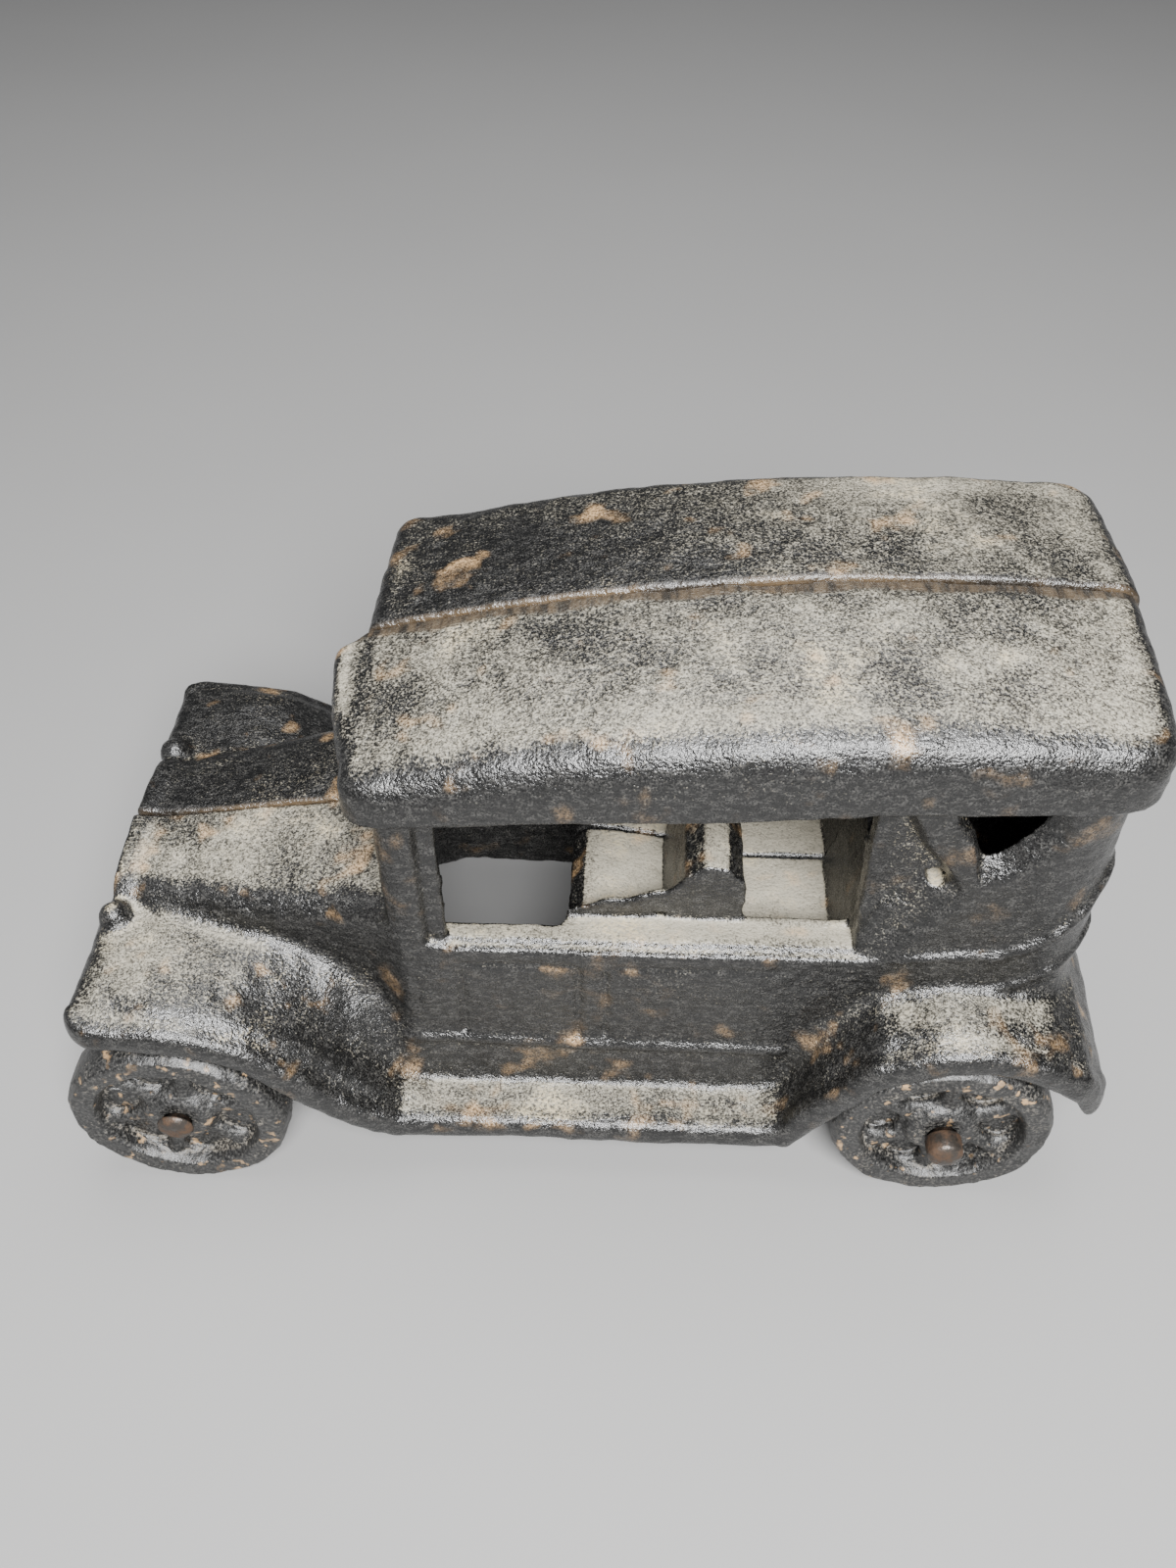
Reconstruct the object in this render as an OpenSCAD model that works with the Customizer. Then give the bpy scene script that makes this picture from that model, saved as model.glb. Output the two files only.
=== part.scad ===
// Cast-iron toy closed car of the 1920s, scale about 1:20.
// Two sand-cast half shells meet on the centre plane, two steel axles turn in
// cast bosses, and a cast wheel turns freely on each end of each axle.
// Frame: +X forward, +Y to the car's left, +Z up, origin on the ground under
// the middle of the overall box. Millimetres.

/* [Running gear] */
// Distance between the axle centres
wheelbase = 128; // [118:1:136]
// Outside radius of a wheel
wheel_r = 18.4; // [16.5:0.1:18.6]
// Width of a wheel across its tread
wheel_w = 8; // [6:0.5:8]
// Outer face of the front wheels from the centre plane
front_face_y = 41.6; // [40.5:0.1:42]
// Outer face of the rear wheels from the centre plane
rear_face_y = 39; // [38.8:0.1:41.5]
// Number of spokes cast in relief on a wheel
spokes = 6; // [5:1:8]
// Radius of the axle shafts
axle_r = 2.2; // [1.8:0.1:2.6]
// Radial running clearance of axle holes and wheel bores
run_gap = 0.08; // [0.03:0.01:0.1]

/* [Roof] */
// Height of the roof crown at its highest point
roof_top = 104; // [100:0.5:106]
// Drop of the crown from its highest point to the front edge
roof_drop = 12; // [8:0.5:14]
// Half width of the roof over the eaves
roof_half_w = 34; // [31:0.5:36]

/* [Body] */
// Half width of the cabin over the door panels
cabin_half_w = 27.5; // [26:0.5:28.5]
// Height of the window sill
sill_z = 50; // [47:0.5:52]
// Wall thickness of the castings
wall = 3; // [2.6:0.1:3.2]
// Depth of the pressed-in window surround
recess = 1.6; // [0.8:0.1:2]

/* [Fastening] */
// Radius of the cross rivet that holds the halves together
rivet_r = 1.5; // [1.2:0.1:1.8]
// Radius of the open rivet hole in each rear quarter
hole_r = 1.45; // [1.2:0.05:1.8]

/* [Hidden] */
$fn = 64;

iron = [0.17, 0.165, 0.155];
wheel_iron = [0.15, 0.14, 0.13];
steel = [0.34, 0.29, 0.25];

front_axle_x = 67.8 + (wheelbase - 128) / 2;
rear_axle_x = -60.2 - (wheelbase - 128) / 2;
axle_z = wheel_r;
axle_end_y = 43.5;        // outer end of the peened axle heads
boss_r = 5.5;
boss_y = 30.4;            // outer end of the axle bosses
cowl_x = 31;              // front edge of the cabin
rear_x = -79;             // back wall
skirt_z = 11;             // lower edge of the castings
seat_side_y = 19.5;       // inner edge of the shelf beside the seats
rivet_x = 44;
rivet_z = 28;
hole_x = -52.2;
hole_z = 67.9;

// Height of the roof crown on the centre plane at station x
function crown(x) = roof_top - roof_drop * pow((x + 50) / 84, 2);
// Height of the underside of the eave at station x
function eave(x) = lookup(x, [[-78, 90], [-36, 88], [-14, 85.5], [12, 84.2], [34, 82.5]]);
// Half width of the roof at station x: both ends are rounded in plan
function roof_w(x) = roof_half_w
    - lookup(x, [[-78, 9], [-76, 5], [-72, 1.8], [-66, 0], [26, 0], [31, 1.2], [34, 4.5]]);
// Height of the hood crown and half width of the hood at station x
function hood_top(x) = lookup(x, [[30, 57.5], [43, 54.7], [56, 52.4], [67, 50.6], [78, 49.3]]);
function hood_w(x) = lookup(x, [[30, 27], [34, 24.5], [40, 22.8], [50, 21.5], [62, 19.5], [78, 16.5]]);

// A solid through a row of sections. Each section is a closed ring of [y, z]
// points at its own station x, clockwise seen from the front, and all rings
// have the same number of points.
module loft(xs, rings) {
    n = len(rings[0]);
    m = len(xs);
    order = xs[0] > xs[m - 1] ? [0:m - 1] : [m - 1:-1:0];
    pts = [for (i = order) for (p = rings[i]) [xs[i], p[0], p[1]]];
    side = [for (i = [0:m - 2]) for (j = [0:n - 1])
        each [[i * n + j, (i + 1) * n + j, (i + 1) * n + (j + 1) % n],
              [i * n + j, (i + 1) * n + (j + 1) % n, i * n + (j + 1) % n]]];
    start = [[for (j = [0:n - 1]) j]];
    end = [[for (j = [n - 1:-1:0]) (m - 1) * n + j]];
    polyhedron(points = pts, faces = concat(side, start, end));
}

// Half section of a crowned cover: centre plane, crown, round shoulder, side.
// A cover that is low for its rise and shoulder gets smaller ones.
function cover(top, w, rise0, r0, low, over = 1) = let (
        h = top - low,
        rise = min(rise0, h * 0.25),
        r = min(r0, h * 0.5))
    concat(
        [[-over, low], [-over, top], [w * 0.3, top - rise * 0.12], [w * 0.6, top - rise * 0.5]],
        [for (a = [90:-22.5:0]) [w - r + r * cos(a), top - rise - r + r * sin(a)]],
        [[w, low]]);

// Side profile in the X-Z plane extruded sideways from y0 to y1
module side_plate(y0, y1) {
    translate([0, y1, 0])
        rotate([90, 0, 0])
            linear_extrude(height = y1 - y0)
                children();
}

module side_cylinder(x, z, y0, y1, r) {
    translate([x, y0, z])
        rotate([-90, 0, 0])
            cylinder(h = y1 - y0, r = r);
}

// ---------------------------------------------------------------- roof
roof_x = [-78, -76, -72, -66, -50, -35, -20, -5, 10, 21, 26, 31, 34];

module roof_outer() {
    loft(roof_x, [for (x = roof_x) cover(crown(x), roof_w(x), 3, 7, eave(x))]);
}

module roof_inner() {
    xs = [-74.6, -69, -61, -42, -19, 2, 15, 27, 30.4];
    loft(xs, [for (x = xs) cover(crown(x) - wall, roof_w(x) - wall - 0.5, 3, 5, eave(x) + wall, 2)]);
}

// ---------------------------------------------------------------- hood
hood_x = [30, 34, 40, 50, 62, 78];

module hood_outer() {
    loft(hood_x, [for (x = hood_x) cover(hood_top(x), hood_w(x), 2.2, 4.5, skirt_z)]);
}

module hood_inner() {
    xs = [26, 30, 34, 40, 50, 62, 74.5];
    loft(xs, [for (x = xs) cover(hood_top(x) - wall, hood_w(x) - wall, 2.2, 3, skirt_z - 1.5, 2.5)]);
}

// Half of the radiator shell, its filler cap and the headlamp stub
module nose() {
    difference() {
        side_plate(-1, 17.6)
            polygon([[76.4, skirt_z + 3], [79.2, skirt_z + 3], [79.2, 47.5], [77.8, 49.6], [76.4, 49.9]]);
        translate([78.4, -2, skirt_z + 7])
            cube([2, 15.5, 33.5]);
    }
    translate([74.5, 0, 48])
        cylinder(h = 4.6, r = 3);
    translate([78.2, 19.4, 45.5])
        sphere(r = 2.6);
}

// ---------------------------------------------------------------- cabin
module cabin_outer() {
    intersection() {
        side_plate(-1, cabin_half_w)
            polygon(concat(
                [[cowl_x, skirt_z]],
                [for (x = [cowl_x, 20, 0, -20, -40, -60, -76]) [x, eave(x) + 2]],
                [[rear_x, 91], [rear_x - 0.6, 50], [rear_x, 34], [-74, 30], [-72, skirt_z]]));
        plan(rear_x - 1, cowl_x, cabin_half_w, 11, 3);
    }
}

module cabin_inner() {
    intersection() {
        side_plate(-2, cabin_half_w - wall)
            polygon(concat(
                [[cowl_x - 2.2, skirt_z - 2]],
                [for (x = [cowl_x - 2.2, 20, 0, -20, -40, -60, -73]) [x, eave(x) + wall + 1.2]],
                [[rear_x + wall, 91], [rear_x + wall - 0.6, 50], [rear_x + wall, 36], [-70, skirt_z - 2]]));
        plan(rear_x - 1 + wall, cowl_x + 10, cabin_half_w - wall, 8.5, 3);
    }
}

// Vertical prism over a half plan with a round rear and front corner
module plan(x0, x1, w, r0, r1) {
    translate([0, 0, -5])
        linear_extrude(height = 130)
            polygon(concat(
                [[x0, -3]],
                [for (a = [180:-15:90]) [x0 + r0 + r0 * cos(a), w - r0 + r0 * sin(a)]],
                [for (a = [90:-30:0]) [x1 - r1 + r1 * cos(a), w - r1 + r1 * sin(a)]],
                [[x1, -3]]));
}

// Fields that lie back from the door panel: round the main window and round
// the quarter window. The bow between them stays at the panel's own level.
module surround() {
    side_plate(cabin_half_w - recess, cabin_half_w + 8)
        polygon([[25.4, sill_z], [-46.6, sill_z - 0.4], [-55.4, 63.4], [-55.6, 67], [-53.6, 71.2],
                 [-49.4, 76.4], [-45.5, 84], [-44, 87.6], [-36, 86.8], [-14, 84.4], [12, 83], [25.4, 82]]);
    side_plate(cabin_half_w - recess, cabin_half_w + 8)
        polygon([[-57.8, 69.2], [-62.8, 72.1], [-65.8, 75.1], [-68, 79.4], [-68.4, 88.6], [-50.6, 88.2],
                 [-52.6, 81.7], [-55, 78.3], [-56.2, 74.6]]);
}

module windows() {
    side_plate(cabin_half_w - wall - 4, cabin_half_w + 8)
        polygon([[21.5, sill_z + 0.8], [-42, sill_z + 0.8], [-42, 84.6], [-12, 82.6], [21.5, 80]]);
    side_plate(cabin_half_w - wall - 4, cabin_half_w + 8)
        polygon([[-55, 80], [-57, 76.8], [-59.2, 74.6], [-61.4, 75.8], [-64.6, 80.6],
                 [-65.6, 87.4], [-53.4, 87]]);
    translate([cowl_x - 4, -5, 60])
        cube([12, 28, 21]);
}

// Door shut lines, the belt line above them and the two quarter mouldings
module panel_lines() {
    for (x = [20, 1, -3])
        side_plate(cabin_half_w - 0.5, cabin_half_w + 2)
            translate([x - 0.4, 28])
                square([0.8, 17]);
    side_plate(cabin_half_w - 0.5, cabin_half_w + 2)
        translate([-3, 45.6])
            square([23.8, 0.8]);
}

module mouldings() {
    intersection() {
        union() {
            side_plate(10, cabin_half_w + 0.7)
                polygon([[-46, 50], [-58, 51.8], [-63, 52.2], [-67, 54.2], [-72, 57.8], [-75, 61], [-79, 67],
                         [-79, 69], [-74, 62.4], [-71.4, 59.2], [-66.4, 55.6], [-62.6, 53.8], [-58, 53.4],
                         [-47, 51.6]]);
            side_plate(10, cabin_half_w + 0.7)
                polygon([[-57, 41.4], [-68, 45.2], [-80, 52.6], [-80, 54.2], [-67.6, 46.6], [-57, 42.8]]);
            side_plate(10, cabin_half_w + 0.7)
                polygon([[cowl_x - 1, 25], [-33, 24.2], [-33, 26], [cowl_x - 1, 27]]);
        }
        plan(rear_x - 1.6, cowl_x, cabin_half_w + 0.7, 11, 3);
    }
}

// ---------------------------------------------------------------- wing
// Stations of the front fender, running board and rear fender. The lip is the
// outer lower edge, the knee the ridge or valley line, the root the body side.
wing_x = [81.2, 78, 72, 67.8, 61, 54, 48, 42, 36, 31, 26,
          -30, -34, -40, -47, -56, -62.4, -69, -74, -80, -84, -86.2];
function lip_y(x) = lookup(x, [[-86.2, 34], [-84, 37.5], [-80, 39.2], [-74, 39.8], [-56, 39.8], [-40, 39],
    [-30, 38], [26, 38], [36, 40], [48, 41], [78, 41.4], [81.2, 39]]);
function lip_z(x) = lookup(x, [[-86.2, 24], [-84, 25], [-80, 30.5], [-74, 34.8], [-69, 37.2], [-62.4, 38.4],
    [-56, 37.6], [-47, 32.5], [-40, 22], [-34, 12], [-30, 11], [26, 11], [31, 12], [36, 15.6], [42, 20.8],
    [48, 28.2], [54, 34], [61, 37.4], [67.8, 38.6], [78, 39.4], [81.2, 40]]);
function knee_y(x) = lookup(x, [[-86.2, 24], [-80, 30], [-47, 32], [-40, 31], [-34, 28.4], [26, 28.4],
    [36, 31], [48, 33], [81.2, 32]]);
function knee_z(x) = lookup(x, [[-86.2, 28], [-84, 33], [-80, 38.5], [-74, 42.4], [-62.4, 44.6], [-56, 43.8],
    [-47, 40], [-40, 30], [-34, 17.6], [-30, 16], [26, 16], [31, 18], [36, 24], [42, 31], [48, 37.4],
    [54, 41.6], [61, 44.4], [67.8, 45.4], [78, 45], [81.2, 43.6]]);
function root_y(x) = lookup(x, [[-86.2, 13], [-80, 11], [-76, 19], [-70, 25], [31, 25], [36, 22], [48, 19.6],
    [62, 17.5], [74, 15], [78, 19], [81.2, 21]]);
function root_z(x) = lookup(x, [[-86.2, 29], [-84, 34], [-80, 39.5], [-74, 43.4], [-62.4, 45], [-56, 44.4],
    [-47, 41], [-40, 33], [-34, 26], [-30, 25.4], [26, 25.4], [31, 28.5], [36, 34.5], [42, 39.5],
    [48, 42.6], [54, 44.2], [67.8, 45.4], [78, 44.8], [81.2, 43.4]]);

function wing_ring(x) = let (
        ly = lip_y(x), lz = lip_z(x), ky = knee_y(x), kz = knee_z(x), ry = root_y(x), rz = root_z(x),
        low = min(rz, kz) - wall)
    [[ry - 1.5, low], [ry - 1.5, rz], [ry + 2.6, rz - (rz > kz + 4 ? 0 : 0.2)], [ky, kz],
     [(ky + ly) / 2, kz - (kz - lz - 4) * 0.22], [ly - 1.8, lz + 4.2], [ly, lz + 2.6], [ly, lz + 0.8],
     [ly - 0.8, lz], [ly - 2.6, lz], [ly - 3.4, lz + 1], [ky, kz - wall]];

module wing() {
    loft(wing_x, [for (x = wing_x) wing_ring(x)]);
}

// ---------------------------------------------------------------- seats
// Half of the front and rear bench, cast as one skin with the shell
module seats() {
    w = cabin_half_w - wall + 0.5;
    // Front bench: riser, cushion, back rest
    side_plate(-1, w)
        polygon([[0, 26], [3, 26], [3, 47.8], [0.4, 50], [-12.6, 48], [-15.6, 61], [-18.6, 63.4],
                 [-22.4, 62.8], [-24.6, 59.4], [-24.6, 40], [-21.6, 40], [-21.6, 58], [-20.4, 59.8],
                 [-18.6, 59], [-15.4, 45], [-12.4, 44.6], [-0.4, 46.6], [0, 46]]);
    // Rear bench: cushion and back rest
    side_plate(-1, w)
        polygon([[-22.4, 43.4], [-22.4, 40.4], [-42.4, 39.4], [-47.4, 57.6], [-49.4, 57.6], [-50.4, 60.4],
                 [-48, 61.8], [-45, 61], [-40.2, 43.6]]);
    // Shelf between the sill and the seat wells
    side_plate(seat_side_y, w)
        polygon([[1.6, 47], [1.6, sill_z + 0.6], [-44.6, sill_z + 0.6], [-44.6, 47]]);
    side_plate(22.4, w)
        polygon([[23, 47], [23, sill_z + 0.6], [1, sill_z + 0.6], [1, 47]]);
    // Rolled arm at the side of the front seat
    side_plate(seat_side_y + 0.2, w - 0.8)
        polygon([[2, 49], [2, 52.6], [-8, 54.8], [-17, 58], [-22.6, 59.4], [-24.9, 56], [-24.9, 49]]);
}

// ---------------------------------------------------------------- half body
module half_body() {
    difference() {
        union() {
            difference() {
                union() {
                    roof_outer();
                    cabin_outer();
                    hood_outer();
                    wing();
                    nose();
                    mouldings();
                }
                roof_inner();
                cabin_inner();
                hood_inner();
                surround();
                panel_lines();
            }
            seats();
            for (x = [front_axle_x, rear_axle_x])
                side_cylinder(x, axle_z, (x > 0 ? 15 : 24), boss_y, boss_r);
            side_cylinder(hole_x, hole_z, 20, cabin_half_w - recess, 4);
            side_cylinder(rivet_x, rivet_z, 14, 22.2, 4);
        }
        windows();
        for (x = [front_axle_x, rear_axle_x])
            side_cylinder(x, axle_z, 5, 45, axle_r + run_gap);
        side_cylinder(hole_x, hole_z, 5, 45, hole_r);
        side_cylinder(rivet_x, rivet_z, 5, 24, rivet_r);
        // Both halves end on the centre plane
        translate([-150, -20, -10])
            cube([300, 20, 150]);
    }
}

module body_left() {
    color(iron)
        half_body();
}

module body_right() {
    color(iron)
        mirror([0, 1, 0])
            half_body();
}

// Cross rivet under the hood with a domed head at each end
module front_rivet() {
    color(steel)
        translate([rivet_x, 0, rivet_z])
            rotate([-90, 0, 0])
                for (s = [0, 1])
                    mirror([0, 0, s]) {
                        cylinder(h = 22.2, r = rivet_r);
                        translate([0, 0, 22.2])
                            cylinder(h = 1.4, r1 = 2.8, r2 = 1.8);
                    }
}

// Axle shaft with both ends beaten over into heads that start at head_y
module axle(x, head_y) {
    thick = axle_end_y - head_y;
    color(steel)
        translate([x, 0, axle_z])
            rotate([-90, 0, 0])
                for (s = [0, 1])
                    mirror([0, 0, s]) {
                        cylinder(h = head_y, r = axle_r);
                        translate([0, 0, head_y])
                            rotate_extrude()
                                polygon([[0, 0], [axle_r + 0.95, 0], [axle_r + 0.95, thick - 0.8],
                                         [axle_r + 0.5, thick - 0.3], [axle_r - 0.6, thick], [0, thick]]);
                    }
}

module front_axle() axle(front_axle_x, front_face_y + 0.4);
module rear_axle() axle(rear_axle_x, rear_face_y + 0.4);

// ---------------------------------------------------------------- wheels
rim_in_r = wheel_r - 4.8;

// One pocket between two spokes, in the plane of the wheel
module pocket() {
    half = 180 / spokes - 11;
    polygon(concat(
        [for (a = [-half + 8:half / 3:half - 8]) 6.6 * [cos(a), sin(a)]],
        [for (a = [half:-half / 4:-half]) (rim_in_r - 0.6) * [cos(a), sin(a)]]));
}

// Wheel along +Z with its outer face at z = 0 and its back at z = -wheel_w
module wheel_shape() {
    difference() {
        rotate_extrude($fn = 96)
            polygon([[0, -wheel_w + 0.6], [5.4, -wheel_w + 0.6], [5.4, -wheel_w + 2],
                     [rim_in_r - 0.6, -wheel_w + 2], [rim_in_r + 1.4, -wheel_w], [wheel_r - 1, -wheel_w],
                     [wheel_r - 0.2, -wheel_w + 0.8], [wheel_r, -wheel_w / 2], [wheel_r - 0.2, -1.2],
                     [wheel_r - 1.3, 0], [rim_in_r + 0.5, 0], [rim_in_r, -0.8], [rim_in_r - 0.3, -2.2],
                     [6.2, -2.2], [5.4, -0.6], [4.6, -0.2], [0, -0.2]]);
        translate([0, 0, -wheel_w - 1])
            cylinder(h = wheel_w + 2, r = axle_r + run_gap);
        for (i = [0:spokes - 1])
            rotate(360 * i / spokes) {
                translate([0, 0, -wheel_w + 3.4])
                    linear_extrude(height = 4)
                        pocket();
                // Slot that the casting flash has left open
                if (i % 2 == 0)
                    translate([rim_in_r - 2.4, 0, -wheel_w - 1])
                        linear_extrude(height = wheel_w + 2)
                            polygon([[-0.9, -1.6], [0.5, -2.4], [1.1, 0], [0.6, 2.2], [-0.8, 1.7],
                                     [-0.4, 0]]);
            }
    }
}

module wheel(x, y, side) {
    color(wheel_iron)
        translate([x, side * y, axle_z])
            rotate([-90 * side, 0, 0])
                wheel_shape();
}

module front_wheel_left() wheel(front_axle_x, front_face_y, 1);
module front_wheel_right() wheel(front_axle_x, front_face_y, -1);
module rear_wheel_left() wheel(rear_axle_x, rear_face_y, 1);
module rear_wheel_right() wheel(rear_axle_x, rear_face_y, -1);

body_left();
body_right();
front_rivet();
front_axle();
rear_axle();
front_wheel_left();
front_wheel_right();
rear_wheel_left();
rear_wheel_right();
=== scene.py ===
"""Cast-iron toy closed car of the 1920s: two sand-cast half shells, cast wheels, steel axles.

The castings are signed distance fields in millimetres on a regular grid, joined and cut with
soft corners as a foundry pattern is, then roughened and turned into meshes.
Frame: +X forward, +Y to the car's left, +Z up, as in the CAD model.
"""
import math

import bpy
import numpy as np
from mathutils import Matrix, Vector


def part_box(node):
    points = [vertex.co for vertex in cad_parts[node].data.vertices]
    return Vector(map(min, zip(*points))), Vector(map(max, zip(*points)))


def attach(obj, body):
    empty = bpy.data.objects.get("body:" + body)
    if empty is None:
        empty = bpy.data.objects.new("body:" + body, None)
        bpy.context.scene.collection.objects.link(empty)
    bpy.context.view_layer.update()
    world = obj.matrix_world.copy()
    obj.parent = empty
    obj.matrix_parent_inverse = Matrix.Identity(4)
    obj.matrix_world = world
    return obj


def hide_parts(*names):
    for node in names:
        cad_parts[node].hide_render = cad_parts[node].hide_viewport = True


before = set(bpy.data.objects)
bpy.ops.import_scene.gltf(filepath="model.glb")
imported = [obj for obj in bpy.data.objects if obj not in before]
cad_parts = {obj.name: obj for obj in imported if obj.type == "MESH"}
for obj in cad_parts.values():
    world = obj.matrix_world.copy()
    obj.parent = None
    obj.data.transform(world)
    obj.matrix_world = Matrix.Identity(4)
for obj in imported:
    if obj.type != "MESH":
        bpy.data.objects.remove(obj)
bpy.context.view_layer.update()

import openvdb
from mathutils import Matrix, Vector

MM = 0.001
SHELL_STEP = 0.55
WHEEL_STEP = 0.3


# ------------------------------------------------------------------ fields
def soft_min(a, b, k):
    if k <= 0:
        return np.minimum(a, b)
    h = np.clip(k - np.abs(a - b), 0, None) / k
    return np.minimum(a, b) - h * h * (k * 0.25)


def soft_max(a, b, k):
    return -soft_min(-a, -b, k)


def round_max(a, b, r):
    """Intersection of two half spaces with a round corner of radius r."""
    return np.minimum(np.maximum(a, b), -r) + np.hypot(np.maximum(a + r, 0), np.maximum(b + r, 0))


def curve(*points, blur=0.8):
    """Smooth function of one variable through given points."""
    xs, vs = zip(*sorted(points))
    fine = np.arange(xs[0] - 12, xs[-1] + 12, 0.25)
    taps = np.exp(-0.5 * (np.arange(-24, 25) * 0.25 / blur) ** 2)
    vals = np.interp(fine, xs, vs)
    vals = np.convolve(np.pad(vals, 24, mode="edge"), taps / taps.sum(), mode="valid")
    return lambda x: np.interp(x, fine, vals).astype(np.float32)


def polygon(points, a, b):
    """Signed distance from (a, b) to a closed polygon, negative inside."""
    pts = np.array(points, np.float32)
    near, inside = 1e9, False
    for (ax, ay), (bx, by) in zip(pts, np.roll(pts, -1, 0)):
        ex, ey, wx, wy = bx - ax, by - ay, a - ax, b - ay
        t = np.clip((wx * ex + wy * ey) / (ex * ex + ey * ey), 0, 1)
        near = np.minimum(near, (wx - ex * t) ** 2 + (wy - ey * t) ** 2)
        rise = ey if abs(ey) > 1e-6 else 1e-6
        inside = inside ^ (((ay > b) != (by > b)) & (wx < ex * wy / rise))
    return np.where(inside, -np.sqrt(near), np.sqrt(near))


class Field:
    """Signed distance on a grid, negative inside."""

    def __init__(self, lo, hi, step):
        self.lo, self.step = np.array(lo, np.float32), step
        counts = [int(round((b - a) / step)) + 1 for a, b in zip(lo, hi)]
        axes = [np.float32(a) + np.float32(step) * np.arange(n, dtype=np.float32)
                for a, n in zip(lo, counts)]
        self.x, self.y, self.z = axes[0][:, None, None], axes[1][None, :, None], axes[2][None, None, :]
        self.d = np.full(counts, 30.0, np.float32)

    def window(self, lo, hi):
        return tuple(slice(max(0, int((a - o) / self.step)), min(n, int((b - o) / self.step) + 2))
                     for a, b, o, n in zip(lo, hi, self.lo, self.d.shape))

    def at(self, s, shape):
        return shape(self.x[s[0]], self.y[:, s[1]], self.z[:, :, s[2]])

    def join(self, shape, k=0.0, lo=(-99, -99, -99), hi=(199, 199, 199)):
        s = self.window(lo, hi)
        self.d[s] = soft_min(self.d[s], self.at(s, shape), k)

    def cut(self, shape, k=0.0, lo=(-99, -99, -99), hi=(199, 199, 199)):
        s = self.window(lo, hi)
        self.d[s] = soft_max(self.d[s], -self.at(s, shape), k)

    def sample(self, values, points):
        """Trilinear reading of a grid at points in millimetres."""
        g = (points - self.lo) / self.step
        g = np.clip(g, 0, np.array(values.shape) - 1.001)
        i = g.astype(int)
        f = g - i
        out = 0
        for c in range(8):
            o = np.array([c & 1, c >> 1 & 1, c >> 2 & 1])
            w = np.prod(np.where(o, f, 1 - f), axis=1)
            j = i + o
            out = out + w * values[j[:, 0], j[:, 1], j[:, 2]]
        return out


def spline_weights(coords, cell, offset):
    t = (coords - coords[0]) / cell + offset
    i = np.floor(t).astype(int)
    f = (t - i).astype(np.float32)
    w = np.zeros((len(coords), i.max() + 4), np.float32)
    rows = np.arange(len(coords))
    for j, b in enumerate(((1 - f) ** 3, 3 * f ** 3 - 6 * f ** 2 + 4,
                           -3 * f ** 3 + 3 * f ** 2 + 3 * f + 1, f ** 3)):
        w[rows, i + j] = b / 6
    return w


def lumps(field, cell, rng):
    """Smooth random field with features about two cells wide, spread about 1."""
    ws = [spline_weights(a.ravel(), cell, rng.random()) for a in (field.x, field.y, field.z)]
    c = rng.standard_normal([w.shape[1] for w in ws]).astype(np.float32)
    c = np.einsum("xa,abc->xbc", ws[0], c)
    c = np.einsum("yb,xbc->xyc", ws[1], c)
    c = np.einsum("zc,xyc->xyz", ws[2], c)
    return c / max(float(c.std()), 1e-6)


def softened(d, sigma):
    """Gaussian blur of a grid through its spectrum, sigma in cells."""
    out = np.fft.rfftn(d)
    for axis, n in enumerate(d.shape):
        w = np.fft.rfftfreq(n) if axis == 2 else np.fft.fftfreq(n)
        g = np.exp(-2 * (np.pi * w * sigma) ** 2).astype(np.float32)
        out = out * g.reshape([-1 if a == axis else 1 for a in range(3)])
    return np.fft.irfftn(out, s=d.shape, axes=(0, 1, 2)).astype(np.float32)


def mesh_object(name, verts, faces, marks, material):
    """Mesh in metres from points in millimetres, smooth, with point attributes."""
    me = bpy.data.meshes.new(name)
    n, m = len(verts), len(faces)
    me.vertices.add(n)
    me.vertices.foreach_set("co", (verts * MM).astype(np.float32).ravel())
    me.loops.add(m * 4)
    me.loops.foreach_set("vertex_index", faces.astype(np.int32).ravel())
    me.polygons.add(m)
    me.polygons.foreach_set("loop_start", np.arange(0, m * 4, 4, dtype=np.int32))
    me.polygons.foreach_set("use_smooth", np.ones(m, bool))
    me.update(calc_edges=True)
    for key, values in marks.items():
        a = me.attributes.new(key, "FLOAT", "POINT")
        a.data.foreach_set("value", np.clip(values, -2, 2).astype(np.float32))
    me.materials.append(material)
    ob = bpy.data.objects.new(name, me)
    bpy.context.scene.collection.objects.link(ob)
    return ob


def surface(field, d):
    """Points in millimetres and outward quads of the zero level."""
    grid = openvdb.FloatGrid(3.0)
    grid.copyFromArray(np.clip(d / field.step, -3, 3).astype(np.float32))
    pts, quads = grid.convertToQuads(0.0)
    pts = field.lo + np.asarray(pts, np.float32) * field.step
    quads = np.asarray(quads, np.int64)
    a, b, c = (pts[quads[:, i]] for i in (0, 1, 2))
    if np.einsum("ij,ij->i", np.cross(b - a, c - a), a).sum() < 0:
        quads = quads[:, ::-1]
    return pts, quads


# ------------------------------------------------------------------ body
crown = curve(*[(x, 104 - 12 * ((x + 50) / 84) ** 2) for x in range(-79, 36, 3)])
eave = curve((-78, 90), (-36, 88), (-14, 85.5), (12, 84.2), (34, 82.5), blur=2)
hood_top = curve((30, 57.5), (43, 54.7), (56, 52.4), (67, 50.6), (78, 49.3), blur=1.5)
hood_w = curve((30, 27), (34, 24.5), (40, 22.8), (50, 21.5), (62, 19.5), (78, 16.5), blur=1.5)
shoulder_r = curve((-78, 4), (-66, 7), (24, 7), (34, 3), blur=2)
rear_wall = curve((11, -72), (30, -74), (34, -79), (50, -79.6), (91, -79), blur=1)
HALF_W, WALL, SKIRT = 27.5, 3.0, 11.0
ROOF_FRONT, ROOF_REAR, ROOF_W, COWL, NOSE = 34.0, -78.4, 34.0, 31.0, 78.0
ROOF_LOW = 88.0
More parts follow.
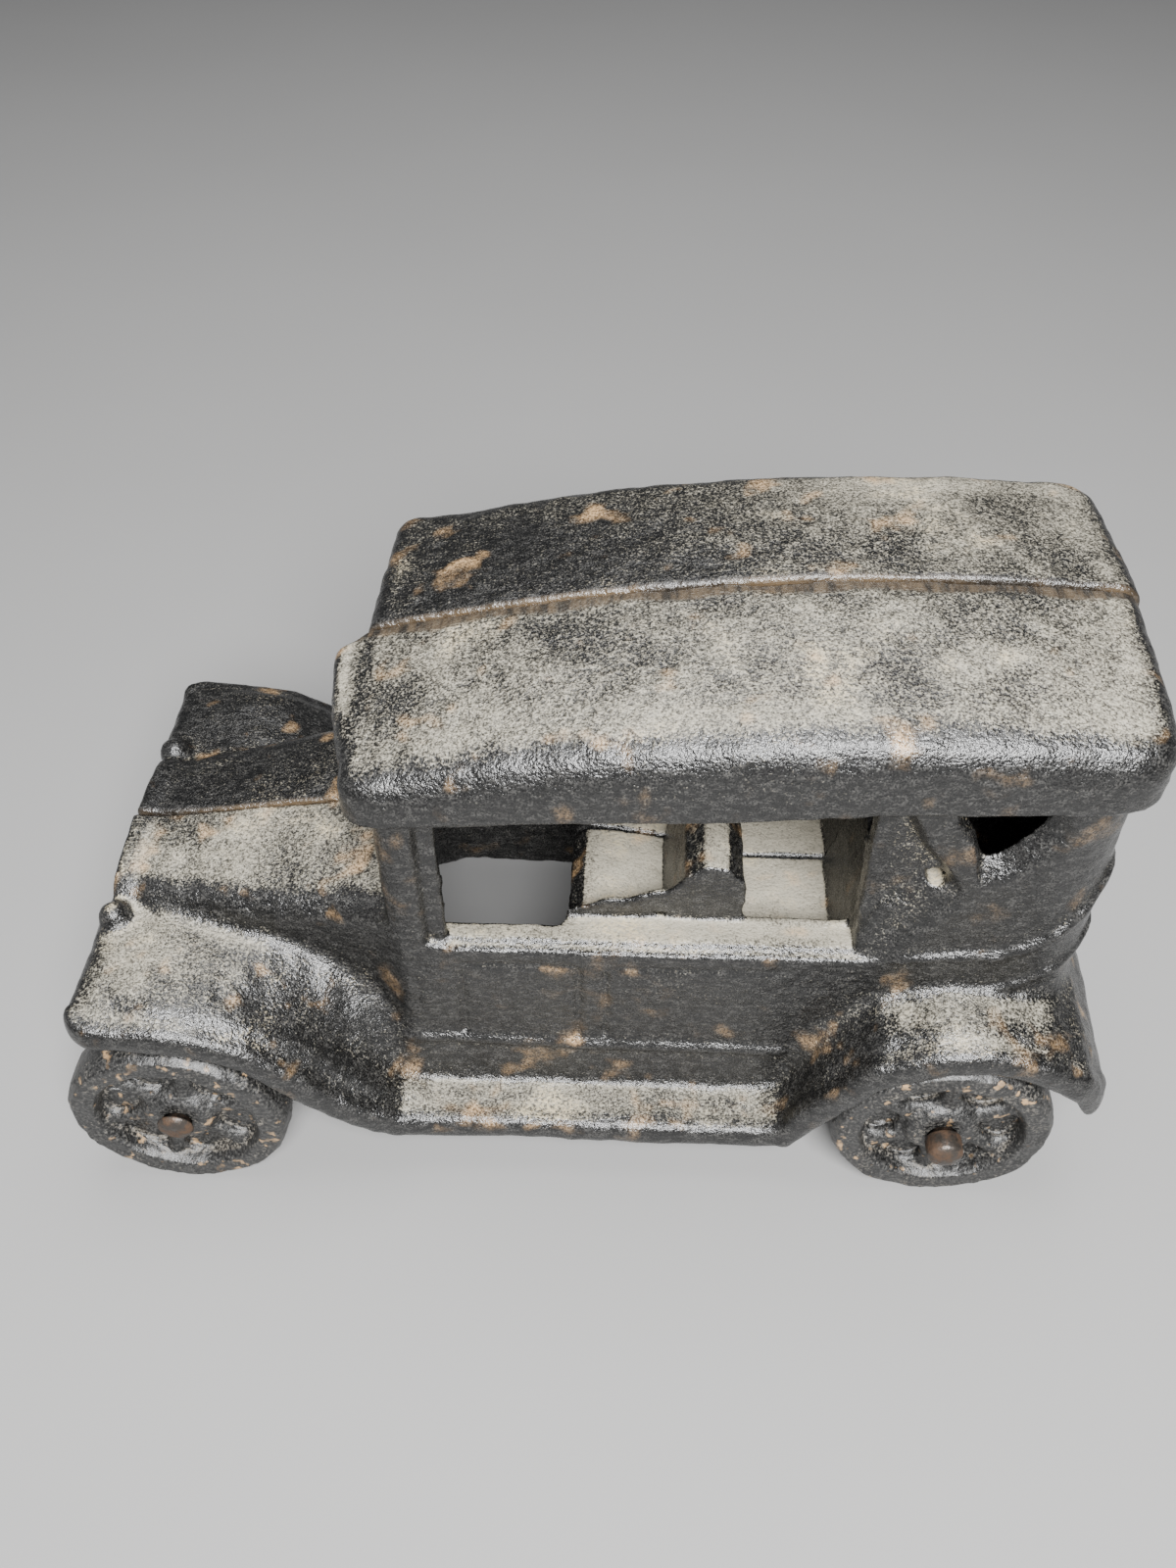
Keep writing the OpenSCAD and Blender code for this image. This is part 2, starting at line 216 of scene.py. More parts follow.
QUARTER_HOLE, RIVET = (-52.2, 67.9), (44, 28)
AXLE_R, AXLE_BORE, RIVET_R = 2.2, 2.3, 1.5

front_wheel_low, front_wheel_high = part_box("front_wheel_left")
rear_wheel_low, rear_wheel_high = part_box("rear_wheel_left")
FRONT_AXLE = (front_wheel_low.x + front_wheel_high.x) / 2 / MM
REAR_AXLE = (rear_wheel_low.x + rear_wheel_high.x) / 2 / MM
AXLE_Z = (front_wheel_low.z + front_wheel_high.z) / 2 / MM


def cover(x, y, z, top, w, rise, r):
    """Crowned top running round a shoulder into a side."""
    ay = np.abs(y)
    over = (z - top + rise * (ay / w) ** 2) / np.sqrt(1 + (2 * rise * ay / w ** 2) ** 2)
    return round_max(over, ay - w, r)


def roof_outer(x, y, z, front=ROOF_FRONT):
    d = cover(x, y, z, crown(x), ROOF_W, 3.0, shoulder_r(x))
    d = round_max(d, round_max(x - front, np.abs(y) - ROOF_W, 6.5), 2.0)
    d = round_max(d, round_max(ROOF_REAR - x, np.abs(y) - ROOF_W, 9), 4.0)
    return round_max(d, eave(x) - z, 1.3)


def visor_half(x, y, z):
    """The near half's front edge stands forward at the seam, where it was ground to a corner."""
    front = ROOF_FRONT + 4.2 * np.clip(1 - (y / 26) ** 2, 0, 1) - np.clip(4 - y, 0, 4) * 1.1
    return roof_outer(x, y, z, front)


def roof_inner(x, y, z):
    d = cover(x, y, z, crown(x) - WALL, 29.6, 3.0, 8.0)
    d = round_max(d, round_max(x - 30, -74.8 - x, 5), 2.5)
    return np.maximum(d, eave(x) + WALL - z)


def plan(x, y, x0, x1, w, r0, r1):
    return round_max(round_max(y - w, x0 - x, r0), x - x1, r1)


def cabin_outer(x, y, z):
    d = plan(x, y, rear_wall(z), COWL, HALF_W, 11, 3)
    return np.maximum(round_max(d, SKIRT - z, 0.9), z - eave(x) - 2)


def cabin_inner(x, y, z):
    d = plan(x, y, rear_wall(z) + WALL, COWL - 2.2, HALF_W - WALL, 8.5, 2.5)
    return np.maximum(d, z - eave(x) - WALL - 1.2)


def hood_outer(x, y, z):
    d = cover(x, y, z, hood_top(x), hood_w(x), 2.2, 4.5)
    d = round_max(d, x - NOSE, 1.6)
    return np.maximum(round_max(d, SKIRT - z, 0.9), 29.0 - x)


def hood_inner(x, y, z):
    d = cover(x, y, z, hood_top(x) - WALL, hood_w(x) - WALL, 2.2, 3.0)
    return np.maximum(np.maximum(d, x - 74.5), 26.0 - x)


def side_prism(points, y0, y1, r=0.4):
    return lambda x, y, z: round_max(polygon(points, x, z), np.abs(y - (y0 + y1) / 2) - (y1 - y0) / 2, r)


def lean_in(wall, y, slope):
    """Wall of a field in the side: it moves inward by slope for each millimetre of depth."""
    return (wall + (HALF_W - y) * slope) / math.hypot(1, slope)


def main_field(x, y, z):
    """Field round the main window: flat sill, long slope at the rear quarter, steep bow above it."""
    sill = lean_in(49.9 - z, y, 0.16)
    slope = lean_in(-(0.845 * (x + 46.7) + 0.54 * (z - 49.8)), y, 2.1)
    outline = [(22.8, 40), (-60, 40), (-60, 60), (-55.8, 63.2), (-55.9, 67), (-53.6, 71.4), (-49.6, 76.6),
               (-47, 82), (-45, 86.6), (-43, 93), (22.8, 93)]
    bow = lean_in(polygon(outline, x, z), y, 0.5)
    return np.maximum(soft_max(soft_max(sill, slope, 0.8), bow, 0.8), 23.9 - y)


def pillar_field(x, y, z):
    """Shallow field on the front pillar."""
    return np.maximum(lean_in(polygon([(25.4, 49.9), (20, 49.9), (20, 92), (25.4, 92)], x, z), y, 0.6),
                      HALF_W - 1.6 - y)


def quarter_field(x, y, z):
    """Field round the small quarter window, with a long slope at its lower rear side."""
    outer = [(-50, 68), (-57.4, 68.4), (-62.8, 72.0), (-65.8, 75.1), (-68.2, 79.4), (-68.6, 92), (-50, 92)]
    slope = lean_in(polygon(outer, x, z), y, 1.35)
    front = [(-57.7, 69), (-72, 69), (-72, 93), (-50.4, 93), (-50.8, 88), (-52.4, 82), (-54.8, 78.4),
             (-56.2, 74.8)]
    return np.maximum(soft_max(slope, lean_in(polygon(front, x, z), y, 0.35), 0.6), 24.2 - y)


def seat_shelf(x, y, z):
    """Ledge that runs inward from the sill, wider beside the seats."""
    reach = np.where(x < 1.5, 19.5, 22.2)
    d = round_max(reach - y, z - 51.0 + 0.06 * (y - 24), 1.2)
    d = round_max(d, y - 25.5, 0.5)
    return np.maximum(np.maximum(d, 47.2 - z), np.maximum(-45 - x, x - 23))


def side_cylinder(cx, cz, y0, y1, r, edge=0.4):
    return lambda x, y, z: round_max(np.hypot(x - cx, z - cz) - r,
                                     np.abs(y - (y0 + y1) / 2) - (y1 - y0) / 2, edge)


# Fender line from nose to tail: outer lip, ridge or valley, and root at the body
lip_y = curve((-86.2, 34), (-84, 37.5), (-80, 39.2), (-74, 39.8), (-56, 39.8), (-40, 39), (-30, 38), (26, 38),
              (36, 40), (48, 41), (78, 41.4), (81.2, 39))
lip_z = curve((-86.2, 24), (-84, 25), (-80, 30.5), (-74, 34.8), (-69, 37.2), (-62.4, 38.4), (-56, 37.6),
              (-47, 32.5), (-40, 22), (-34, 12), (-30, 11), (26, 11), (31, 12), (36, 15.6), (42, 20.8),
              (48, 28.2), (54, 34), (61, 37.4), (67.8, 38.6), (78, 39.4), (81.2, 40))
ridge_y = curve((-86.2, 24), (-80, 30), (-47, 32), (-40, 31), (-34, 28.4), (26, 28.4), (36, 31), (48, 33),
                (81.2, 32))
ridge_z = curve((-86.2, 28), (-84, 33), (-80, 38.5), (-74, 42.4), (-62.4, 44.6), (-56, 43.8), (-47, 40),
                (-40, 30), (-34, 17.6), (-30, 16), (26, 16), (31, 18), (36, 24), (42, 31), (48, 37.4),
                (54, 41.6), (61, 44.4), (67.8, 45.4), (78, 45), (81.2, 43.6))
root_y = curve((-86.2, 13), (-80, 11), (-76, 19), (-70, 25), (31, 25), (36, 22), (48, 19.6), (62, 17.5),
               (74, 15), (78, 19), (81.2, 21))
root_z = curve((-86.2, 29), (-84, 34), (-80, 39.5), (-74, 43.4), (-62.4, 45), (-56, 44.4), (-47, 41),
               (-40, 33), (-34, 26), (-30, 25.4), (26, 25.4), (31, 28.5), (36, 34.5), (42, 39.5), (48, 42.6),
               (54, 44.2), (67.8, 45.4), (78, 44.8), (81.2, 43.4))


def wing(x, y, z):
    """Fenders and running board as one bent sheet with a rolled lip."""
    xs, ys = x.ravel(), y.ravel()
    ly, lz, ky, kz, ry, rz = (f(xs) for f in (lip_y, lip_z, ridge_y, ridge_z, root_y, root_z))
    height = np.empty((len(xs), len(ys)), np.float32)
    for i in range(len(xs)):
        height[i] = np.interp(ys, [ry[i] - 2, ry[i] + 2.4, ky[i], (ky[i] + ly[i]) / 2, ly[i] - 1.8, ly[i]],
                              [rz[i], rz[i], kz[i], kz[i] - (kz[i] - lz[i] - 4) * 0.22, lz[i] + 4.4,
                               lz[i] + 2.8])
    taps = np.exp(-0.5 * (np.arange(-6, 7) * SHELL_STEP / 0.9) ** 2)
    taps /= taps.sum()
    smooth = np.apply_along_axis(lambda v: np.convolve(np.pad(v, 6, mode="edge"), taps, "valid"), 1, height)
    gx, gy = np.gradient(smooth, float(xs[1] - xs[0]), float(ys[1] - ys[0]))
    steep = np.sqrt(1 + gx ** 2 + gy ** 2)[:, :, None]
    sheet = np.abs((z - smooth[:, :, None]) / steep + WALL / 2) - WALL / 2
    ly, lz, ry = ly[:, None, None], lz[:, None, None], ry[:, None, None]
    sheet = round_max(np.maximum(sheet, ry - 1.5 - y), y - ly, 1.2)
    lean = 1 / np.sqrt(1 + np.gradient(lz[:, 0, 0], float(xs[1] - xs[0])) ** 2)[:, None, None]
    bead = round_max(np.abs(y - ly + 1.8) - 1.8, np.abs(z - lz - 2.3) * lean - 2.3, 1.5)
    d = soft_min(sheet, bead, 1.2)
    return round_max(d, np.maximum(x - 81.4, -86.2 - x), 1.8)


def along(a, b, x, z):
    """How far along the side-view line a-b a point is, 0 to 1, and its distance from the line."""
    ex, ez = b[0] - a[0], b[1] - a[1]
    t = np.clip(((x - a[0]) * ex + (z - a[1]) * ez) / (ex * ex + ez * ez), 0, 1)
    return t, np.hypot(x - a[0] - ex * t, z - a[1] - ez * t)


def moulding(a, b, r):
    """Rod of radius r that follows the body side."""
    return lambda x, y, z: np.hypot(along(a, b, x, z)[1],
                                    plan(x, y, rear_wall(z), COWL, HALF_W, 11, 3)) - r


def arm_roll(a, b):
    """Stretch of the front seat's rolled arm, thicker toward the back."""
    def roll(x, y, z):
        t, off = along(a, b, x, z)
        thick = 1.3 + 0.9 * np.clip(-(a[0] + (b[0] - a[0]) * t) / 22, 0, 1)
        return np.hypot(off, y - 21.2) - thick
    return roll


def shell_half():
    """The left half shell, before its skin is roughened."""
    f = Field((-90, -1.6, 8.5), (86, 45.5, 107), SHELL_STEP)
    f.join(roof_outer)
    f.join(cabin_outer, 1.0)
    f.join(hood_outer, 1.6)
    f.join(wing, 2.4, (-90, 8, 8.5), (86, 46, 52))

    # Radiator shell with its recessed face, headlamp stub
    f.join(lambda x, y, z: round_max(round_max(cover(x, y, z, 49.9, 17.0, 2.2, 4.5), 13.5 - z, 1.0),
                                     np.abs(x - 77.4) - 1.8, 0.9), 0.8, (72, -3, 8), (86, 22, 54))
    f.cut(lambda x, y, z: round_max(np.maximum(78.4 - x, np.abs(z - 30) - 14.5), y - 13.6, 1.5), 0.5,
          (74, -3, 10), (86, 20, 50))
    f.join(lambda x, y, z: np.sqrt((x - 78.0) ** 2 + (y - 19.2) ** 2 + (z - 45.3) ** 2) - 2.5, 2.0,
           (70, 12, 38), (86, 27, 53))

    # Belt mouldings and the roll along the foot of the body side
    for r, line in ((0.9, ((-46, 50.8), (-58, 52.6), (-63, 53), (-67, 55), (-72, 58.6), (-75, 62),
                           (-79, 68))),
                    (0.8, ((-57, 42.2), (-68, 46), (-80, 53.4))),
                    (1.1, ((COWL - 1, 26), (-33, 25.2)))):
        for a, b in zip(line, line[1:]):
            f.join(moulding(a, b, r), 1.0, (min(a[0], b[0]) - 3, 8, min(a[1], b[1]) - 3),
                   (max(a[0], b[0]) + 3, 32, max(a[1], b[1]) + 3))

    f.cut(roof_inner, 0.8)
    f.cut(cabin_inner, 0.8)
    f.cut(hood_inner, 0.8)

    # Thicker side behind the main window, then the fields that slope in to the windows
    f.join(side_prism([(-38, 49), (-40, 86), (-50, 88), (-60, 68), (-50, 49)], 20.5, 25.5, 1), 1.5,
           (-64, 18, 44), (-34, 30, 92))
    f.join(side_cylinder(*QUARTER_HOLE, 19, HALF_W - 1.2, 4.2, 1.0), 1.5, (-60, 16, 60), (-45, 30, 76))
    f.cut(main_field, 0.5, (-62, 22, 46), (30, 30, 87.5))
    f.cut(pillar_field, 0.4, (15, 22, 46), (30, 30, 86.5))
    f.cut(quarter_field, 0.4, (-74, 21, 62), (-44, 30, 92.5))

    # Benches, the shelf beside them and the rolled arm of the front seat
    w = HALF_W - WALL + 0.4
    f.join(side_prism([(0, 26), (3, 26), (3, 47.8), (0.4, 50), (-12.6, 48), (-15.6, 61), (-18.6, 63.4),
                       (-22.4, 62.8), (-24.6, 59.4), (-24.6, 40), (-21.6, 40), (-21.6, 58), (-20.4, 59.8),
                       (-18.6, 59), (-15.4, 45), (-12.4, 44.6), (-0.4, 46.6), (0, 46)], -9, w, 0.8), 2.0,
           (-30, -3, 22), (8, 27, 68))
    f.join(side_prism([(-22.4, 43.4), (-22.4, 40.4), (-42.4, 39.4), (-47.4, 57.6), (-49.4, 57.6),
                       (-50.4, 60.4), (-48, 61.8), (-45, 61), (-40.2, 43.6)], -9, w, 0.8), 2.0,
           (-56, -3, 35), (-18, 27, 66))
    f.join(seat_shelf, 1.2, (-52, 14, 43), (28, 27, 56))
    arm = [(2.4, 51.6), (-4, 53.2), (-11, 54.8), (-17, 56.9), (-22.6, 57.8)]
    for a, b in zip(arm, arm[1:]):
        f.join(arm_roll(a, b), 2.2, (min(a[0], b[0]) - 6, 14, min(a[1], b[1]) - 6),
               (max(a[0], b[0]) + 6, 30, max(a[1], b[1]) + 6))
    f.join(lambda x, y, z: (np.sqrt(((x + 19.2) / 5.6) ** 2 + ((y - 21.6) / 3.3) ** 2
                                    + ((z - 54) / 4.0) ** 2) - 1) * 3.3, 1.6, (-30, 14, 46), (-8, 30, 62))
    for cx, y0 in ((FRONT_AXLE, 15), (REAR_AXLE, 24)):
        f.join(side_cylinder(cx, AXLE_Z, y0, 30.4, 5.5, 0.8), 2.0, (cx - 9, 10, 9), (cx + 9, 34, 28))
    f.join(side_cylinder(*RIVET, 14, 22.2, 4, 0.6), 1.2, (37, 12, 21), (51, 26, 35))

    # Window openings with the flash left in their corners
    f.cut(side_prism([(21.5, 51.0), (-42, 51.0), (-42, 80), (-41, 84.8), (-12, 82.8), (21.5, 80.4)],
                     20.5, 36, 0.8), 0.5, (-46, 18, 48), (26, 40, 90))
    f.cut(side_prism([(-55, 80), (-57, 76.8), (-59.2, 74.8), (-61.2, 76), (-64.6, 80.6), (-65.6, 88.4),
                      (-53.4, 88)], 20.5, 36, 0.6), 0.5, (-69, 18, 70), (-49, 40, 91))
    f.cut(lambda x, y, z: round_max(round_max(np.abs(x - 32) - 6, np.abs(z - 70.5) - 10.5, 1.5), y - 23, 1.5),
          0.5, (22, -3, 56), (40, 27, 85))

    # Door shut lines and the line under the sill
    for cx in (20, 1, -3.4):
        f.cut(lambda x, y, z, cx=cx: round_max(np.hypot(x - cx, y - HALF_W - 0.25) - 0.8,
                                               np.abs(z - 36.5) - 9, 0.5), 0.4,
              (cx - 3, 24, 24), (cx + 3, 31, 49))
    f.cut(lambda x, y, z: round_max(np.hypot(z - 46.2, y - HALF_W - 0.3) - 0.75, np.abs(x - 10.4) - 9.4, 0.5),
          0.4, (-3, 24, 43), (25, 31, 49))
    f.cut(lambda x, y, z: round_max(np.hypot(z - 46.4, y - HALF_W - 0.3) - 0.7, np.abs(x + 19) - 14, 0.5),
          0.4, (-36, 24, 43), (-2, 31, 49))

    # Bores
    for cx, cz, far, r in ((FRONT_AXLE, AXLE_Z, 45, AXLE_BORE), (REAR_AXLE, AXLE_Z, 45, AXLE_BORE),
                           (*QUARTER_HOLE, 45, RIVET_R), (*RIVET, 24, RIVET_R)):
        f.cut(side_cylinder(cx, cz, 5, far, r, 0.1), 0.2, (cx - 5, 3, cz - 5), (cx + 5, 46, cz + 5))
    return f


def cast_shell(name, f, side, seed, material):
    """One half as cast: roughened, parted at the seam, and for side -1 mirrored and a little off."""
    rng = np.random.default_rng(seed)
    d = f.d + lumps(f, 10.0, rng) * 0.09 + lumps(f, 3.6, rng) * 0.05 + lumps(f, 1.2, rng) * 0.055
    seam = -f.y + 0.06
    bevel = (f.z - crown(f.x) + 0.45) * 0.98 - f.y * 0.17
    if side > 0:
        s = f.window((25, -3, 78), (46, 30, 107))
        near = soft_max(f.at(s, visor_half), -f.at(s, roof_inner), 0.5)
        d[s] = np.minimum(d[s], near + d[s] - f.d[s])
        d = soft_max(d, bevel + 0.12 * lumps(f, 2.2, rng), 0.4)
    d = soft_max(d, np.broadcast_to(seam, d.shape), 0.35)
    verts, faces = surface(f, d)
    base = np.clip(f.d, -2.2, 2.2)
    edge = f.sample(softened(base, 1.3 / f.step) - base, verts) * 0.9
    ground = np.clip((3.1 + 0.5 * np.sin(verts[:, 0] * 0.35) - verts[:, 1]) * 2, 0, 1)
    ground *= (verts[:, 2] > crown(verts[:, 0]) - 2.6) * (verts[:, 2] > 80) * (side > 0)
    x, y, z = verts.T
    seam_line = np.clip(1 - y / 0.9, 0, 1) * ((z > ROOF_LOW) | (x > COWL) & (z > 40))
    # Where dust lies thick: sill and seats, board and fenders, hood, roof
    inside = np.clip((27.2 - y) * 1.5, 0, 1) * np.clip((30 - x) / 4, 0, 1)
    inside = inside * (z < ROOF_LOW) * (z > 40) * (x > -70)
    thick = np.maximum(inside, 0.42 * np.clip((47 - z) / 3, 0, 1) * (y > 20))
    thick = np.maximum(thick, 0.5 * (x > COWL) * (z > 40))
    thick = np.maximum(thick, (0.45 + 0.05 * np.clip((-x - 20) / 50, 0, 1)) * (z > ROOF_LOW))
    if side < 0:
        # Painted shade: the far half, which slopes away from the light, is kept darker on the hood and the
        # front of the roof, where thick goes below zero and takes the dust off
        thick = np.where(z > ROOF_LOW, np.clip((-x - 10) / 60, -0.25, 0.5), np.where(x > COWL, -0.35, thick))
        verts = verts * np.array([1, -1, 1], np.float32) + np.array([-0.5, 0.0, 0.25], np.float32)
        faces = faces[:, ::-1]
    a, b, c, e = (verts[faces[:, i]] for i in range(4))
    fn = np.cross(c - a, e - b)
    up = np.zeros((len(verts), 3))
    for i in range(4):
        np.add.at(up, faces[:, i], fn)
    up = up[:, 2] / np.maximum(np.linalg.norm(up, axis=1), 1e-9)
    marks = {"edge": edge, "up": up, "ground": ground, "seam": seam_line, "thick": thick}
    return mesh_object(name, verts, faces, marks, material)


# ------------------------------------------------------------------ wheels
WHEEL_R, WHEEL_BORE = 18.4, 2.28


def wheel_field(seed, spin, floor, slots):
    """Smooth and roughened wheel, its axis on +Z, outer face at 0 and back at -8, pockets floor deep."""
    f = Field((-19.6, -19.6, -9.2), (19.6, 19.6, 1.4), WHEEL_STEP)
    r, a = np.hypot(f.x, f.y), np.arctan2(f.y, f.x)
    profile = [(0, -7.4), (5.4, -7.4), (5.4, -6), (12.8, -6), (14.8, -8), (17.2, -8), (18.1, -7.3),
               (18.35, -4), (18.1, -1.3), (17.2, 0), (13.9, 0), (13.3, -0.9), (12.9, -2.2), (6.6, -2.2),
               (5.6, -0.9), (4.6, -0.35), (0, -0.35)]
    d = polygon(profile, r, f.z) - 0.05
    third = math.pi / 3
    turn = (a - spin + third / 2) % third - third / 2
    px, py = r * np.cos(turn), r * np.sin(turn)
    pocket = np.hypot((px - 10.0) * 0.95, py * (0.72 - 0.012 * (px - 10))) - 2.9
    pocket = np.broadcast_to(pocket, d.shape)
    hollow = np.maximum(pocket, -floor - f.z)
    d = soft_max(d, -hollow, 1.0)
    spoke = np.hypot(np.where(np.cos(turn * 6) < 0, (np.abs(turn) - third / 2) * r, 9.0), f.z + 2.9) - 1.35
    spoke = np.maximum(spoke, np.maximum(r - 13.4, 5.0 - r))
    d = soft_min(d, np.broadcast_to(spoke, d.shape), 0.8)
    for angle, radius, long, wide, lean in slots:
        q = math.radians(angle)
        cx, cy = radius * math.cos(q), radius * math.sin(q)
        c, s = math.cos(math.radians(lean)), math.sin(math.radians(lean))
        u, v = (f.x - cx) * c + (f.y - cy) * s, -(f.x - cx) * s + (f.y - cy) * c
        slot = np.hypot(np.maximum(np.abs(u) - long, 0), v + 0.06 * u * u) - wide
        d = soft_max(d, -np.broadcast_to(slot, d.shape), 0.3)
    rng = np.random.default_rng(seed)
    base = d.astype(np.float32)
    d = base + lumps(f, 5.5, rng) * 0.07 + lumps(f, 1.8, rng) * 0.06 + lumps(f, 0.8, rng) * 0.045
    d = np.maximum(np.maximum(d, WHEEL_BORE - r), r - WHEEL_R)
    f.d = base
    return f, d


def cast_wheel(name, seed, spin, floor, slots, material):
    f, d = wheel_field(seed, spin, floor, slots)
    verts, faces = surface(f, d)
    base = np.clip(f.d, -2.0, 2.0)
    edge = f.sample(softened(base, 0.9 / f.step) - base, verts) * 1.2
    low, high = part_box(name)
    left = (low.y + high.y) > 0
    face_y = (high.y if left else low.y) / MM
    cx, cz = (low.x + high.x) / 2 / MM, (low.z + high.z) / 2 / MM
    hollow = np.clip((-0.8 - verts[:, 2]) / 2.0, 0, 1) * (np.hypot(verts[:, 0], verts[:, 1]) < 13.8)
    depth = verts[:, 2] if left else -verts[:, 2]
    world = np.stack([cx + verts[:, 0], face_y + depth, cz + verts[:, 1]], 1)
    if left:
        faces = faces[:, ::-1]
    ob = mesh_object("cast_" + name, world, faces, {"edge": edge, "hollow": hollow}, material)
    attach(ob, name)
    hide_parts(name)


# ------------------------------------------------------------------ pins
def peened_pin(name, node, body, head_y, profile, seed, material):
    """Pin along Y turned from a half profile of (radius, y), its ends beaten over unevenly."""
    rng = np.random.default_rng(seed)
    low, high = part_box(node)
    centre = (low + high) / 2 / MM
    around = 72
    ends = [(r, y) for r, y in profile] + [(r, -y) for r, y in reversed(profile)]
    angle = np.linspace(0, 2 * np.pi, around, endpoint=False)
    waves = {s: [(k, rng.normal(0, 0.11 / k), rng.uniform(0, 6.28)) for k in (1, 2, 3, 5)] for s in (1, -1)}
    verts = []
    # Only the heads are uneven, and never fatter than the profile
    for r, y in ends:
        side = 1 if y > 0 else -1
        head = max(0.0, min(1.0, (abs(y) - head_y) / 0.6))
        wob = sum(a * np.sin(k * angle + p) for k, a, p in waves[side]) * head
        rr = np.minimum(r * (1 + wob * 0.5 - 0.05 * head), r) if r > 0.05 else np.zeros(around) + 0.02
        verts.append(np.stack([centre.x + rr * np.cos(angle), np.full(around, y),
                               centre.z + rr * np.sin(angle)], 1))
    verts = np.concatenate(verts)
    rows = len(ends)
    faces = np.array([[i * around + j, i * around + (j + 1) % around, (i + 1) * around + (j + 1) % around,
                       (i + 1) * around + j] for i in range(rows - 1) for j in range(around)])
    a, b, c = (verts[faces[:, i]] - np.array([centre.x, 0, centre.z]) for i in (0, 1, 2))
    if np.einsum("ij,ij->i", np.cross(b - a, c - a), a).sum() < 0:
        faces = faces[:, ::-1]
    ob = mesh_object(name, verts, faces, {}, material)
    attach(ob, body)
    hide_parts(node)


# ------------------------------------------------------------------ materials
class Nodes:
    """Short hand for a node tree."""

    def __init__(self, name):
        self.mat = bpy.data.materials.new(name)
        self.mat.use_nodes = True
        self.t = self.mat.node_tree
        self.bsdf = self.t.nodes["Principled BSDF"]
        coord = self.t.nodes.new("ShaderNodeTexCoord")
        self.place = coord.outputs["Object"]

    def link(self, a, b):
        if isinstance(a, (int, float)):
            b.default_value = a
        elif isinstance(a, tuple):
            b.default_value = (*a, 1.0)
        else:
            self.t.links.new(a, b)

    def noise(self, scale, detail=2.0, rough=0.5, offset=(0, 0, 0), stretch=(1, 1, 1)):
        m = self.t.nodes.new("ShaderNodeMapping")
        m.inputs["Location"].default_value = offset
        m.inputs["Scale"].default_value = stretch
        self.link(self.place, m.inputs["Vector"])
        n = self.t.nodes.new("ShaderNodeTexNoise")
        n.inputs["Scale"].default_value = scale
        n.inputs["Detail"].default_value = detail
        n.inputs["Roughness"].default_value = rough
        self.link(m.outputs["Vector"], n.inputs["Vector"])
        return n.outputs["Fac"]

    def mark(self, name):
        n = self.t.nodes.new("ShaderNodeAttribute")
        n.attribute_name = name
        return n.outputs["Fac"]

    def math(self, op, a, b):
        n = self.t.nodes.new("ShaderNodeMath")
        n.operation = op
        self.link(a, n.inputs[0])
        self.link(b, n.inputs[1])
        return n.outputs[0]

    def ramp(self, value, lo, hi, to_lo=0.0, to_hi=1.0):
        n = self.t.nodes.new("ShaderNodeMapRange")
        n.interpolation_type = "SMOOTHSTEP"
        for key, v in (("Value", value), ("From Min", lo), ("From Max", hi), ("To Min", to_lo),
                       ("To Max", to_hi)):
            self.link(v, n.inputs[key])
        return n.outputs["Result"]

    def mix(self, fac, a, b):
        n = self.t.nodes.new("ShaderNodeMix")
        n.data_type = "RGBA"
        self.link(fac, n.inputs["Factor"])
        self.link(a, n.inputs["A"])
        self.link(b, n.inputs["B"])
        return n.outputs["Result"]

    def bump(self, height, strength, distance):
        n = self.t.nodes.new("ShaderNodeBump")
        n.inputs["Strength"].default_value = strength
        n.inputs["Distance"].default_value = distance
        self.link(height, n.inputs["Height"])
        self.link(n.outputs["Normal"], self.bsdf.inputs["Normal"])


BLACK, WORN = (0.002, 0.002, 0.002), (0.034, 0.033, 0.031)
DUST, PALE, RUST = (0.235, 0.217, 0.172), (0.4, 0.33, 0.205), (0.36, 0.23, 0.115)
EARTH, SOIL, SEAM_RUST = (0.06, 0.044, 0.028), (0.012, 0.01, 0.008), (0.085, 0.058, 0.032)
WHEEL_DUST = (0.17, 0.15, 0.12)
STEEL, STAIN, PITTED = (0.04, 0.034, 0.029), (0.07, 0.042, 0.026), (0.018, 0.016, 0.014)
FLOOR_LOW, FLOOR_HIGH = (0.185, 0.184, 0.182), (0.2, 0.199, 0.197)


